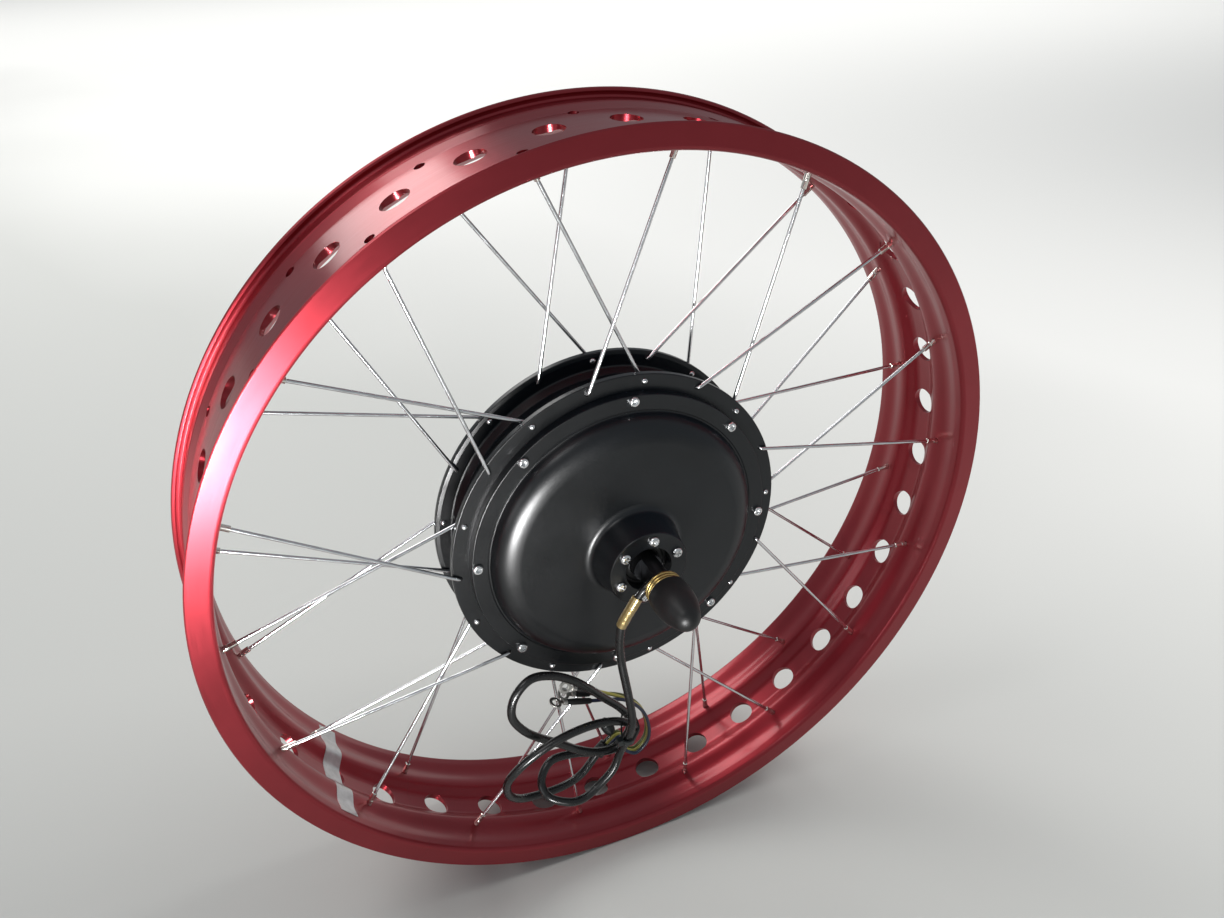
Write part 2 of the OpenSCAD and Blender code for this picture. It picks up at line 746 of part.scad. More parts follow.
rim();
rim_label();
hub_shell();
magnet_ring();
rotor_magnets();
disc_side_cover();
plain_side_cover();
disc_side_cover_screws();
plain_side_cover_screws();
disc_screws();
disc_side_outer_race();
plain_side_outer_race();
disc_side_bearing_shields();
plain_side_bearing_shields();
disc_side_seal();
plain_side_seal();
disc_side_inner_spokes();
disc_side_outer_spokes();
plain_side_inner_spokes();
plain_side_outer_spokes();
disc_side_nipples();
plain_side_nipples();
axle();
stator_support();
axle_key();
stator_laminations();
stator_coils();
hall_sensor_board();
motor_leads();
disc_side_inner_race();
plain_side_inner_race();
disc_side_bearing_balls();
plain_side_bearing_balls();
disc_side_washers();
plain_side_washers();
disc_side_nut();
plain_side_nut();
disc_side_cap();
plain_side_cap();
cable_inner_run();
cable_sleeve();
motor_cable();
cable_tie();
wire_boot();
yellow_wire();
green_wire();
blue_wire();
terminal_sleeves();
ring_terminals();
hall_lead();
hall_plug();
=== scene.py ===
import math
import random

import bmesh
import bpy
from mathutils import Matrix, Vector


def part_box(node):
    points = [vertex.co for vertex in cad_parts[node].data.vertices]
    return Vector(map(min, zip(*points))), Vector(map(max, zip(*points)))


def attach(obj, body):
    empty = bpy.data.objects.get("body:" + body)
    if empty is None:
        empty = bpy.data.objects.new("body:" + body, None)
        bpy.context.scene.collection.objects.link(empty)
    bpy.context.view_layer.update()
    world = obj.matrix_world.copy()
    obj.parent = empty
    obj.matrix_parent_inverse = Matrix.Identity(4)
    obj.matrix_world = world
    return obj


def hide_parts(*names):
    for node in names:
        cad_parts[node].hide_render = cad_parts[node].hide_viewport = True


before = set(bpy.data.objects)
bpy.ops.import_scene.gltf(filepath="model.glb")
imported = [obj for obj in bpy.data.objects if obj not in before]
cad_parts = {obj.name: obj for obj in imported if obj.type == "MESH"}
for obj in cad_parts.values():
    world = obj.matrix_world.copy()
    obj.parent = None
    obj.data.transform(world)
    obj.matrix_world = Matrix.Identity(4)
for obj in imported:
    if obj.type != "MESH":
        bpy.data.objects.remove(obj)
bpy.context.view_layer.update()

# Looks of the hub motor wheel. Lengths are in millimetres until a mesh is made, except in the floor,
# the camera and the lights, which are in metres. A place on the wheel is a radius from the axle, an
# angle from +X towards +Z in degrees, and a distance a towards the disc side, which is -Y.
MM = 0.001


def high(node, axis):
    """How far a CAD node reaches along X, Y or Z, in millimetres."""
    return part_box(node)[1]["xyz".index(axis)] / MM


# Sizes taken from the frame
RIM_R = high("rim", "x")
RIM_HALF = high("rim", "y")
FLANGE_R = high("hub_shell", "x")
FLANGE_OUT = high("hub_shell", "y")
COVER_R = high("plain_side_cover", "x")
DISC_FACE = high("plain_side_cover", "y")
THREAD_END = high("axle", "y")
CAP_TIP = high("plain_side_cap", "y")
CAP_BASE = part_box("plain_side_cap")[0].y / MM
WASHER_R = high("plain_side_washers", "x")
WASHER_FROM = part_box("plain_side_washers")[0].y / MM
WASHER_TO = high("plain_side_washers", "y")
FLOOR_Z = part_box("rim")[0].z

# The rest of the section sizes and the counts, as the CAD parts have them
BED_R = RIM_R - 11.5
BED_TOP_R = BED_R + 3
RIDGE = (BED_R - 6.3, 20)
VALLEY = (BED_R - 4.1, 33)
WALL_FOOT = (BED_R - 5.3, RIM_HALF - 7)
EDGE_R = BED_R - 4.9
CUTOUT_COUNT = 36
CUTOUT_PHASE = 7.5
CUTOUT_R = 10
VALVE_ANGLE = 52.5
VALVE_R = 4.25
SEAM_ANGLE = -127.5
LABEL_FROM = -144.6
LABEL_SPAN = 3.4
FLANGE_IN = FLANGE_OUT - 5
DRUM_R = 107
SHELL_IN_R = 102
COVER_TOP = FLANGE_OUT + 6.5
BOSS_R = 27.7
BORE_R = 16.5
COVER_SCREWS = {"count": 8, "phase": -3, "r": 106.2}
DISC_SCREWS = {"count": 6, "phase": 22, "r": 22}
# Half the width of an arm of the disc screws' cross recess
CROSS_ARM = 0.45
SPOKE_R = 1.25
SPOKE_CIRCLE_R = 116.5
SPOKE_ROW = 24
SPOKE_AIM_R = RIM_R - 11
SPOKE_BEND = 1.6
SPOKES_IN_GROUP = 9
# The two sides of the wheel, and which way a counts on each
SIDES = {"disc_side": 1, "plain_side": -1}
# Angle at the hub and at the rim of the first spoke of each group
LACING = {
    "disc_side_inner": (2, 22.5),
    "disc_side_outer": (22, 2.5),
    "plain_side_inner": (32, 12.5),
    "plain_side_outer": (12, 32.5),
}
CABLE_ANGLE = 215
CABLE_OUT = 78
AXLE_R = 10
FLAT_X = 5
FLATS_FROM = 66
THREAD_PITCH = 1.5
WASHER_COUNT = 3
WASHER_GAP = 0.1
SHOULDER = WASHER_FROM - WASHER_GAP

# Routes of the cable and its wires, in millimetres of the row frame
CABLE_R = 3
CABLE_ROUTE = [
    (-24, -76, -34), (-25, -76, -50), (-24, -77, -66), (-22, -80, -83), (-20, -83, -100),
    (-19, -85, -117), (-21, -82, -134), (-25, -78, -150), (-31, -79, -164), (-42, -80, -174),
    (-55, -82, -180), (-67, -82, -179), (-80, -76, -174), (-82, -66, -167), (-72, -59, -158),
    (-54, -58, -159), (-39, -59, -163), (-24, -60, -164), (-12, -60, -155), (-9, -60, -141),
    (-17, -60, -126), (-29, -60, -112), (-41, -62, -97), (-54, -63, -83), (-69, -64, -72),
    (-86, -67, -66), (-99, -70, -75), (-102, -71, -91), (-94, -71, -107), (-82, -70, -120),
    (-68, -69, -132), (-54, -68, -145), (-39, -68, -154), (-24, -69, -155), (-13, -71, -146),
    (-13, -75, -132), (-24, -77, -121), (-40, -78, -115), (-58, -79, -114), (-76, -80, -117),
    (-93, -80, -125), (-105, -77, -138), (-109, -71, -154), (-106, -65, -172), (-96, -60, -185),
    (-80, -57, -191), (-63, -56, -192), (-47, -55, -187), (-33, -53, -173),
]
SLEEVE_ROUTE = [(-13, -78, -12), (-17, -78, -18.5), (-21, -77, -26.5), (-24, -76, -34)]
INNER_ROUTE = [(0, -72, 0), (0, -76, 0), (-3, -78, -2), (-9, -79, -6), (-13, -78, -12)]
BOOT_END = (-25, -52, -167)
WIRE_R = 1.3
WIRE_GAP = 2.9
WIRE_RUN = [
    (-25, -52, -167), (-15, -49, -164), (-9, -45, -172), (-8, -44, -184), (2, -45, -192),
    (12, -45, -182), (12, -45, -164), (4, -47, -144), (-12, -50, -126),
]
TERMINAL_STARTS = [(-38, -54, -116), (-36, -52, -108), (-36, -47, -116)]
TERMINAL_ENDS = [(-57, -56, -108), (-48, -52, -102), (-47, -47, -112)]
TERMINAL_SPINS = [80, 20, 50]
HALL_ROUTE = [(-27, -52, -164.6), (-24.5, -51.7, -162.5), (-21.5, -52, -159.5), (-20.5, -52, -156)]
HALL_PLUG = ((-21, -52, -156), (-27, -52, -143))


# ---------------------------------------------------------------- curves and outlines


def wheel_point(r, angle, a):
    t = math.radians(angle)
    return Vector((r * math.cos(t), -a, r * math.sin(t)))


def smooth_path(points, steps=6):
    """Points of one smooth curve through the given ones (Catmull-Rom)."""
    p = [Vector(q) for q in points]
    p = [2 * p[0] - p[1], *p, 2 * p[-1] - p[-2]]
    out = []
    for i in range(1, len(p) - 2):
        for k in range(steps):
            t = k / steps
            out.append(0.5 * (2 * p[i] + (p[i + 1] - p[i - 1]) * t
                              + (2 * p[i - 1] - 5 * p[i] + 4 * p[i + 1] - p[i + 2]) * t * t
                              + (3 * p[i] - p[i - 1] - 3 * p[i + 1] + p[i + 2]) * t ** 3))
    return [*out, p[-2]]


def path_length(points):
    return sum((q - p).length for p, q in zip(points, points[1:]))


def bend(p, c, q, steps):
    """Quarter bend from p to q that leaves p towards c."""
    p, c, q = Vector(p), Vector(c), Vector(q)
    return [tuple((1 - t) ** 2 * p + 2 * t * (1 - t) * c + t * t * q)
            for t in (k / steps for k in range(steps + 1))]


def rounded(corners, step=18):
    """A closed outline with each corner (r, a, radius) turned into an arc; a pair stays as it is."""
    out = []
    for i, corner in enumerate(corners):
        p = Vector(corner[:2])
        if len(corner) < 3:
            out.append(tuple(p))
            continue
        before = Vector(corners[i - 1][:2]) - p
        after = Vector(corners[(i + 1) % len(corners)][:2]) - p
        half = before.angle(after) / 2
        cut = min(corner[2] / math.tan(half), 0.45 * before.length, 0.45 * after.length)
        centre = p + (before.normalized() + after.normalized()).normalized() * cut / math.cos(half)
        start = p + before.normalized() * cut - centre
        end = p + after.normalized() * cut - centre
        turn = math.atan2(start.x * end.y - start.y * end.x, start.dot(end))
        steps = max(2, math.ceil(abs(math.degrees(turn)) / step))
        for k in range(steps + 1):
            v = start.copy()
            v.rotate(Matrix.Rotation(turn * k / steps, 2))
            out.append(tuple(centre + v))
    return out


def mirrored(points):
    return [(p[0], -p[1], *p[2:]) for p in reversed(points)]


# ---------------------------------------------------------------- meshes


class Form:
    """Points in millimetres and faces, gathered until they become one piece."""

    def __init__(self):
        self.points = []
        self.faces = []

    def rings(self, rings, closed=False):
        """Skin over rings of equal length; closed joins the last ring to the first."""
        start, n = len(self.points), len(rings[0])
        for ring in rings:
            self.points += [Vector(p) for p in ring]
        count = len(rings)
        for i in range(count if closed else count - 1):
            low, up = start + i * n, start + (i + 1) % count * n
            for k in range(n):
                m = (k + 1) % n
                self.faces.append((low + k, low + m, up + m, up + k))
        if not closed:
            self.faces.append(tuple(start + k for k in reversed(range(n))))
            self.faces.append(tuple(start + (count - 1) * n + k for k in range(n)))
        return self

    def lathe(self, outline, segments, closed=True, place=None):
        """Turns an outline of (r, a) about the axle, or about local z of a place matrix."""
        rings = []
        for r, a in outline:
            angles = [360 * k / segments for k in range(segments)]
            if place is None:
                rings.append([wheel_point(r, t, a) for t in angles])
            else:
                rings.append([place @ Vector((r * math.cos(math.radians(t)),
                                              r * math.sin(math.radians(t)), a)) for t in angles])
        return self.rings(rings, closed=closed)

    def tube(self, path, radius, sides):
        """Round tube down a path; radius is a number or a function of the share along the path."""
        path = [Vector(p) for p in path]
        size = radius if callable(radius) else lambda share: radius
        heading = (path[1] - path[0]).normalized()
        side = heading.orthogonal().normalized()
        rings = []
        for i, p in enumerate(path):
            now = (path[min(i + 1, len(path) - 1)] - path[max(i - 1, 0)]).normalized()
            side = heading.rotation_difference(now) @ side
            side = (side - side.dot(now) * now).normalized()
            heading = now
            up = now.cross(side)
            r = size(i / (len(path) - 1))
            rings.append([p + r * (math.cos(t) * side + math.sin(t) * up)
                          for t in (2 * math.pi * k / sides for k in range(sides))])
        return self.rings(rings)

    def prism(self, outline, low, up, place, bevel=0.0):
        """Extrudes an outline of (x, y) from low to up along local z, with its edges cut by bevel."""
        levels = [(outline, low), (outline, up)]
        if bevel:
            inset = shrunk(outline, bevel)
            levels = [(inset, low), (outline, low + bevel), (outline, up - bevel), (inset, up)]
        return self.rings([[place @ Vector((x, y, z)) for x, y in line] for line, z in levels])


def shrunk(outline, by):
    """A convex outline moved inwards by a distance."""
    middle = sum((Vector(p) for p in outline), Vector((0, 0))) / len(outline)
    return [Vector(p) - (Vector(p) - middle).normalized() * by for p in outline]


def along(p, q):
    """Matrix that puts local z on the line from p to q, with the origin at p."""
    p, q = Vector(p), Vector(q)
    d = q - p
    tilt = Matrix.Rotation(math.acos(max(-1, min(1, d.z / d.length))), 4, "Y")
    turn = Matrix.Rotation(math.atan2(d.y, d.x), 4, "Z")
    return Matrix.Translation(p) @ turn @ tilt


def on_wheel(r, angle, a, side=1):
    """Matrix with local z along the axle, outwards on that side, and local x pointing outwards."""
    radial = wheel_point(1, angle, 0)
    out = Vector((0, -side, 0))
    across = out.cross(radial)
    m = Matrix((radial, across, out)).transposed().to_4x4()
    m.translation = wheel_point(r, angle, side * a)
    return m


def mesh_from(name, form):
    mesh = bpy.data.meshes.new(name)
    mesh.from_pydata([p * MM for p in form.points], [], form.faces)
    b = bmesh.new()
    b.from_mesh(mesh)
    bmesh.ops.remove_doubles(b, verts=b.verts, dist=1e-7)
    bmesh.ops.recalc_face_normals(b, faces=b.faces)
    b.to_mesh(mesh)
    b.free()
    return mesh


def piece(name, form, body, material, stands_for, cut_by=None, sharp=32, flatten=True):
    """Makes the piece that the form describes, rides it on its body and hides the CAD parts that it
    stands for.
    """
    obj = bpy.data.objects.new(name, mesh_from(name, form))
    bpy.context.scene.collection.objects.link(obj)
    if cut_by is not None:
        cut(obj, cut_by)
    obj.data.shade_smooth()
    obj.data.set_sharp_from_angle(angle=math.radians(sharp))
    if flatten:
        weigh = obj.modifiers.new("even_shading", "WEIGHTED_NORMAL")
        weigh.keep_sharp = True
        weigh.weight = 80
    obj.data.materials.clear()
    obj.data.materials.append(material)
    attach(obj, body)
    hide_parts(*stands_for)
    return obj


def cut(obj, form):
    """Cuts the form's solids out of an object, for good."""
    tool = bpy.data.objects.new(obj.name + "_tool", mesh_from(obj.name + "_tool", form))
    bpy.context.scene.collection.objects.link(tool)
    modifier = obj.modifiers.new("cut", "BOOLEAN")
    modifier.object = tool
    modifier.solver = "EXACT"
    modifier.operation = "DIFFERENCE"
    bpy.context.view_layer.update()
    whole = obj.evaluated_get(bpy.context.evaluated_depsgraph_get())
    done = bpy.data.meshes.new_from_object(whole)
    obj.modifiers.clear()
    obj.data = done
    bpy.data.objects.remove(tool)


# ---------------------------------------------------------------- materials


class Look:
    """A procedural material, built round one Principled shader."""

    def __init__(self, name, **sockets):
        self.material = bpy.data.materials.new(name)
        self.material.use_nodes = True
        self.tree = self.material.node_tree
        self.shader = self.tree.nodes["Principled BSDF"]
        self.set(**sockets)
        self.place = self.node("TexCoord").outputs["Object"]

    def put(self, node, socket, value):
        if isinstance(value, bpy.types.NodeSocket):
            self.tree.links.new(value, node.inputs[socket])
        elif isinstance(value, tuple) and len(value) == 3 and node.inputs[socket].type == "RGBA":
            node.inputs[socket].default_value = (*value, 1)
        else:
            node.inputs[socket].default_value = value

    def node(self, kind, inputs=None, **settings):
        n = self.tree.nodes.new("ShaderNode" + kind)
        for key, value in settings.items():
            setattr(n, key, value)
        for socket, value in (inputs or {}).items():
            self.put(n, socket, value)
        return n

    def math(self, operation, *values):
        return self.node("Math", dict(enumerate(values)), operation=operation).outputs[0]

    def stretched(self, x, y, z):
        """The piece's own coordinates, in metres, times a factor each way."""
        inputs = {0: self.place, 1: (x, y, z)}
        return self.node("VectorMath", inputs, operation="MULTIPLY").outputs[0]

    def turned(self, across, round_):
        """Coordinates that follow a turning tool: fine across the tool's marks, long round the axle."""
        x, y, z = self.node("SeparateXYZ", {0: self.place}).outputs
        squares = (self.math("MULTIPLY", v, v) for v in (x, z))
        r = self.math("SQRT", self.math("ADD", *squares))
        angle = self.math("ARCTAN2", z, x)
        return self.node("CombineXYZ", {
            0: self.math("MULTIPLY", r, across),
            1: self.math("MULTIPLY", y, across),
            2: self.math("MULTIPLY", angle, round_),
        }).outputs[0]

    def noise(self, vector, scale, detail):
        return self.node("TexNoise", {"Vector": vector, "Scale": scale, "Detail": detail,
                                      "Roughness": 0.55}).outputs["Fac"]

    def between(self, share, low, up, start=0.3, end=0.7):
        return self.node("MapRange", {"Value": share, "From Min": start, "From Max": end,
                                      "To Min": low, "To Max": up}).outputs["Result"]

    def colours(self, share, first, second, start=0.3, end=0.7):
        mix = self.node("Mix", data_type="RGBA")
        self.put(mix, 0, self.between(share, 0.0, 1.0, start, end))
        self.put(mix, 6, first)
        self.put(mix, 7, second)
        return mix.outputs[2]

    def bumps(self, *layers):
        """Adds bump layers of (height, depth in millimetres, strength) on top of each other."""
        normal = None
        for height, depth, strength in layers:
            inputs = {"Height": height, "Distance": depth * MM, "Strength": strength}
            if normal is not None:
                inputs["Normal"] = normal
            normal = self.node("Bump", inputs).outputs["Normal"]
        self.put(self.shader, "Normal", normal)

    def set(self, **sockets):
        for socket, value in sockets.items():
            self.put(self.shader, socket.replace("_", " "), value)


def anodised_red():
    """Red anodised aluminium with the fine marks of the tool that turned it."""
    look = Look("anodised_red", Metallic=1.0, Anisotropic=0.8, Anisotropic_Rotation=0.25,
                Coat_Weight=0.5, Coat_Roughness=0.16)
    marks = look.noise(look.turned(2600, 9), 1.0, 2.0)
    broad = look.noise(look.turned(60, 5), 1.0, 3.0)
    cloud = look.noise(look.place, 14.0, 4.0)
    angle = look.turned(0, 1)
    turn = look.node("SeparateXYZ", {0: angle}).outputs[2]
    seam = look.math("LESS_THAN", look.math("ABSOLUTE", look.math(
        "SUBTRACT", turn, math.radians(SEAM_ANGLE))), 0.12 / RIM_R)
    red = look.colours(cloud, (0.28, 0.022, 0.031), (0.33, 0.028, 0.039))
    mix = look.node("Mix", data_type="RGBA")
    look.put(mix, 0, look.math("MULTIPLY", seam, 0.7))
    look.put(mix, 6, red)
    look.put(mix, 7, (0.12, 0.004, 0.008))
    look.set(Base_Color=mix.outputs[2], Roughness=look.math(
        "ADD", look.between(marks, 0.34, 0.44), look.between(cloud, -0.02, 0.03)))
    look.bumps((broad, 0.02, 0.25), (marks, 0.012, 0.35), (seam, -0.1, 0.6))
    look.set(Tangent=look.node("Tangent", direction_type="RADIAL", axis="Y").outputs[0])
    return look.material


def black_paint():
    """Satin black paint over castings: fine orange peel and a little dust in the gloss."""
    look = Look("black_paint", Specular_IOR_Level=0.45)
    peel = look.noise(look.place, 900.0, 2.0)
    cloud = look.noise(look.place, 22.0, 5.0)
    marks = look.noise(look.turned(1500, 12), 1.0, 2.0)
    look.set(Base_Color=look.colours(cloud, (0.0024, 0.0046, 0.0076), (0.0044, 0.0072, 0.011)),
             Roughness=look.math("ADD", look.between(cloud, 0.30, 0.37),
                                 look.between(peel, -0.03, 0.03)))
    look.bumps((peel, 0.03, 0.16), (marks, 0.01, 0.12))
    return look.material


def bright_metal(name, colour, rough, grain, depth=0.02):
    """Plated or ground steel: a little cloud in its colour, fine scratches in its gloss."""
    look = Look(name, Metallic=1.0)
    scratch = look.noise(look.stretched(grain, grain * 0.25, grain), 1.0, 3.0)
    cloud = look.noise(look.place, 90.0, 3.0)
    darker = tuple(c * 0.82 for c in colour)
    look.set(Base_Color=look.colours(cloud, darker, colour),
             Roughness=look.math("ADD", look.between(scratch, rough * 0.8, rough * 1.25),
                                 look.between(cloud, -0.02, 0.03)))
    look.bumps((scratch, depth, 0.2))
    return look.material


def turned_metal(name, colour, rough):
    """Metal with the rings that a lathe leaves."""
    look = Look(name, Metallic=1.0)
    rings = look.noise(look.turned(3200, 4), 1.0, 2.0)
    cloud = look.noise(look.place, 70.0, 3.0)
    look.set(Base_Color=look.colours(cloud, tuple(c * 0.8 for c in colour), colour),
             Roughness=look.between(rings, rough * 0.8, rough * 1.3))
    look.bumps((rings, 0.015, 0.3))
    return look.material


def moulded(name, colour, rough, grain, depth, spec=0.5):
    """Rubber or plastic: a fine skin texture and a soft change in gloss."""
    look = Look(name, Specular_IOR_Level=spec)
    skin = look.noise(look.place, grain, 2.0)
    cloud = look.noise(look.place, 60.0, 4.0)
    darker, lighter = (tuple(c * share for c in colour) for share in (0.8, 1.15))
    look.set(Base_Color=look.colours(cloud, darker, lighter),
             Roughness=look.math("ADD", look.between(cloud, rough - 0.04, rough + 0.05),
                                 look.between(skin, -0.02, 0.02)))
    look.bumps((skin, depth, 0.3))
    return look.material


def braid():
    """Golden sleeving, its fine yarns crossing each other at a slant, with painted shade: the colour is
    darker where the yarns dip between crossings.
    """
    look = Look("golden_braid", Metallic=0.35, Coat_Weight=0.8, Coat_Roughness=0.12)
    one, two = (look.node("TexWave", {"Vector": look.stretched(x, 900, 700), "Scale": 1.0,
                                      "Distortion": 0.3}, bands_direction="DIAGONAL").outputs["Fac"]
                for x in (900, -900))
    yarn = look.math("MULTIPLY", one, two)
    # Painted shade: the colour follows the yarn relief, darker between the crossings and lighter on
    # them
    look.set(Base_Color=look.colours(yarn, (0.36, 0.25, 0.075), (0.66, 0.50, 0.20)),
             Roughness=look.between(yarn, 0.38, 0.24))
    look.bumps((yarn, 0.06, 0.4))
    return look.material


def foil():
    """Silver sticker film, a little creased, with painted shade: darker in the hollows of the creases
    and lighter on their crests.
    """
    look = Look("silver_film", Metallic=0.85, Coat_Weight=0.5, Coat_Roughness=0.1)
    crease = look.noise(look.place, 160.0, 3.0)
    fine = look.noise(look.place, 1500.0, 2.0)
    # Painted shade: the colour follows the crease relief, darker in its hollows and lighter on its
    # crests
    look.set(Base_Color=look.colours(crease, (0.46, 0.44, 0.45), (0.62, 0.60, 0.61)),
             Roughness=look.between(fine, 0.28, 0.4))
    look.bumps((crease, 0.15, 0.25))
    return look.material


def windings():
    """Enamelled copper wire, its turns side by side."""
    look = Look("copper_windings", Metallic=0.9, Coat_Weight=0.6, Coat_Roughness=0.1)
    wires = look.node("TexWave", {"Vector": look.place, "Scale": 320.0, "Distortion": 0.6},
                      bands_direction="Y", wave_profile="SIN").outputs["Fac"]
    cloud = look.noise(look.place, 80.0, 3.0)
    look.set(Base_Color=look.colours(cloud, (0.45, 0.16, 0.06), (0.62, 0.27, 0.11)),
             Roughness=look.between(wires, 0.5, 0.28))
    look.bumps((wires, 0.25, 0.6))
    return look.material


def laminations():
    """Stack of thin electrical steel sheets."""
    look = Look("steel_sheets", Metallic=0.9)
    sheets = look.node("TexWave", {"Vector": look.place, "Scale": 320.0, "Distortion": 0.1},
                       bands_direction="Y").outputs["Fac"]
    cloud = look.noise(look.place, 60.0, 4.0)
    look.set(Base_Color=look.colours(cloud, (0.16, 0.17, 0.19), (0.25, 0.26, 0.28)),
             Roughness=look.between(sheets, 0.42, 0.6))
    look.bumps((sheets, 0.1, 0.5))
    return look.material


def pale_floor():
    look = Look("pale_floor", Roughness=0.6, Specular_IOR_Level=0.3)
    x, y, _ = look.node("SeparateXYZ", {0: look.place}).outputs
    # Painted light: the floor's colour runs from darker towards -X and -Y to lighter towards +X and +Y,
    # standing in for how the light falls across it
    away = look.math("ADD", x, look.math("MULTIPLY", y, 0.5))
    cloud = look.math("ADD", away, look.noise(look.place, 0.9, 2.0))
    fine = look.noise(look.place, 60.0, 4.0)
    look.set(Base_Color=look.colours(cloud, (0.55, 0.553, 0.535), (0.75, 0.745, 0.73), 0.7, 1.8))
    look.bumps((fine, 0.3, 0.1))
    return look.material


RED = anodised_red()
BLACK = black_paint()
SPOKE = bright_metal("bright_spoke_steel", (0.74, 0.75, 0.77), 0.17, 500.0)
NIPPLE = bright_metal("plated_brass", (0.86, 0.82, 0.76), 0.17, 900.0)
ZINC = bright_metal("zinc_plating", (0.82, 0.83, 0.84), 0.2, 1200.0)
GOLD = turned_metal("yellow_zinc", (0.66, 0.49, 0.19), 0.2)
AXLE_STEEL = turned_metal("dark_axle_steel", (0.055, 0.057, 0.062), 0.36)
BEARING = turned_metal("bearing_steel", (0.62, 0.63, 0.65), 0.2)
CAST = bright_metal("cast_aluminium", (0.55, 0.56, 0.58), 0.45, 500.0, depth=0.08)
IRON = turned_metal("back_iron_steel", (0.28, 0.28, 0.30), 0.42)
MAGNET = bright_metal("nickel_plated_magnet", (0.60, 0.60, 0.61), 0.3, 600.0)
RUBBER = moulded("black_rubber", (0.0075, 0.0077, 0.0085), 0.44, 1300.0, 0.03, spec=0.4)
JACKET = moulded("cable_jacket", (0.0075, 0.0075, 0.008), 0.27, 700.0, 0.03)
NYLON = moulded("black_nylon", (0.016, 0.022, 0.022), 0.36, 900.0, 0.03)
YELLOW = moulded("yellow_insulation", (0.40, 0.36, 0.07), 0.34, 900.0, 0.02)
GREEN = moulded("green_insulation", (0.085, 0.10, 0.018), 0.34, 900.0, 0.02)
BLUE = moulded("blue_insulation", (0.012, 0.018, 0.05), 0.34, 900.0, 0.02)
TIN = bright_metal("tinned_copper", (0.50, 0.485, 0.46), 0.34, 900.0, depth=0.04)
BOARD = moulded("circuit_board", (0.02, 0.12, 0.045), 0.4, 1500.0, 0.03)


# ---------------------------------------------------------------- camera


def make_camera():
    data = bpy.data.cameras.new("camera")
    data.sensor_width = 36
    data.lens = 30.41
    camera = bpy.data.objects.new("camera", data)
    camera.location = (-0.2443, -0.5615, 0.4180)
    camera.rotation_euler = (math.radians(58.88), 0, math.radians(-23.75))
    data.clip_start, data.clip_end = 0.01, 100
    bpy.context.scene.collection.objects.link(camera)
    bpy.context.scene.camera = camera


make_camera()


# ---------------------------------------------------------------- cords and what is on them


def terminal_parts(i):
    """Black sleeve and ring terminal on one phase wire."""
    start, end = Vector(TERMINAL_STARTS[i]), Vector(TERMINAL_ENDS[i])
    n = i + 1

    def swell(share):
        return 2.0 + 0.3 * math.sin(math.pi * min(1, share * 1.02)) ** 0.5

    line = [start.lerp(end, k / 14) for k in range(15)]
    sleeve = piece(f"terminal_sleeve_{n}", Form().tube(line, swell, 20), "axle_body", RUBBER,
                   ["terminal_sleeves"])
    place = along(end, 2 * end - start) @ Matrix.Rotation(math.radians(TERMINAL_SPINS[i]), 4, "Z")
    form = Form()
    form.lathe([(0, -1.0), (1.75, -1.0), (1.9, -0.8), (1.9, 2.4), (1.7, 2.9), (1.2, 3.1), (0, 3.1)], 20,
               closed=False, place=place)
    flat = place @ Matrix.Rotation(math.radians(90), 4, "X")
    tongue = rounded([(-1.7, 2.2, 0.3), (-1.35, 5.6), (-1.9, 7.4), (1.9, 7.4), (1.35, 5.6),
                      (1.7, 2.2, 0.3)])
    form.prism(tongue, -0.45, 0.45, flat, 0.12)
    eye = rounded([(2.6, -0.5, 0.12), (4.7, -0.5, 0.2), (4.7, 0.5, 0.2), (2.6, 0.5, 0.12)])
    form.lathe(eye, 40, place=flat @ Matrix.Translation((0, 9.5, 0)))
    ring = piece(f"ring_terminal_{n}", form, "axle_body", TIN, ["ring_terminals"])
    return [sleeve, ring]


def cord_tube(name, route, radius, material, stands_for, sides):
    """Smooth round tube along a route; returns the piece, its path and its length in metres."""
    path = smooth_path(route)
    obj = piece(name, Form().tube(path, radius, sides), "axle_body", material, stands_for,
                flatten=False)
    return obj, [p * MM for p in path], path_length(path) * MM


def motor_cable_and_wires():
    sleeve_path = smooth_path(SLEEVE_ROUTE, 10)

    def braid_r(share):
        return CABLE_R + 0.8 - 0.25 * math.exp(-((1 - share) * 14) ** 2) + 0.05 * math.sin(share * 40)

    sleeve = piece("golden_sleeve", Form().tube(sleeve_path, braid_r, 28), "axle_body", braid(),
                   ["cable_sleeve"])
    inner_form = Form().tube(smooth_path(INNER_ROUTE, 8), CABLE_R - 0.1, 20)
    inner = piece("cable_in_axle", inner_form, "axle_body", JACKET, ["cable_inner_run"])
    tie = cable_tie()
    end, boot_end = Vector(CABLE_ROUTE[-1]), Vector(BOOT_END)
    boot_line = [end.lerp(boot_end, k / 16) for k in range(17)]

    def boot_r(share):
        lips = sum(0.35 * math.exp(-((share - middle) * 14) ** 2) for middle in (0.06, 0.94))
        return 4.85 + lips - 0.5 * (abs(share - 0.5) * 2) ** 8

    boot = piece("wire_boot_body", Form().tube(boot_line, boot_r, 28), "axle_body", RUBBER,
                 ["wire_boot"])
    hall_lead = piece("hall_lead_tube", Form().tube(smooth_path(HALL_ROUTE), 1.0, 12), "axle_body",
                      JACKET, ["hall_lead"])
    plug = hall_plug()
    cable, path, length = cord_tube("motor_cable_tube", CABLE_ROUTE, CABLE_R, JACKET,
                                    ["motor_cable"], 20)
    wires = [("yellow", 0, 1, YELLOW), ("green", WIRE_GAP, 2, GREEN), ("blue", -WIRE_GAP, 0, BLUE)]
    for colour, shift, terminal, material in wires:
        route = [(x, y + shift, z) for x, y, z in WIRE_RUN] + [TERMINAL_STARTS[terminal]]
        wire, path, length = cord_tube(f"{colour}_phase_wire", route, WIRE_R, material,
                                       [f"{colour}_wire"], 14)
        terminal_parts(terminal)


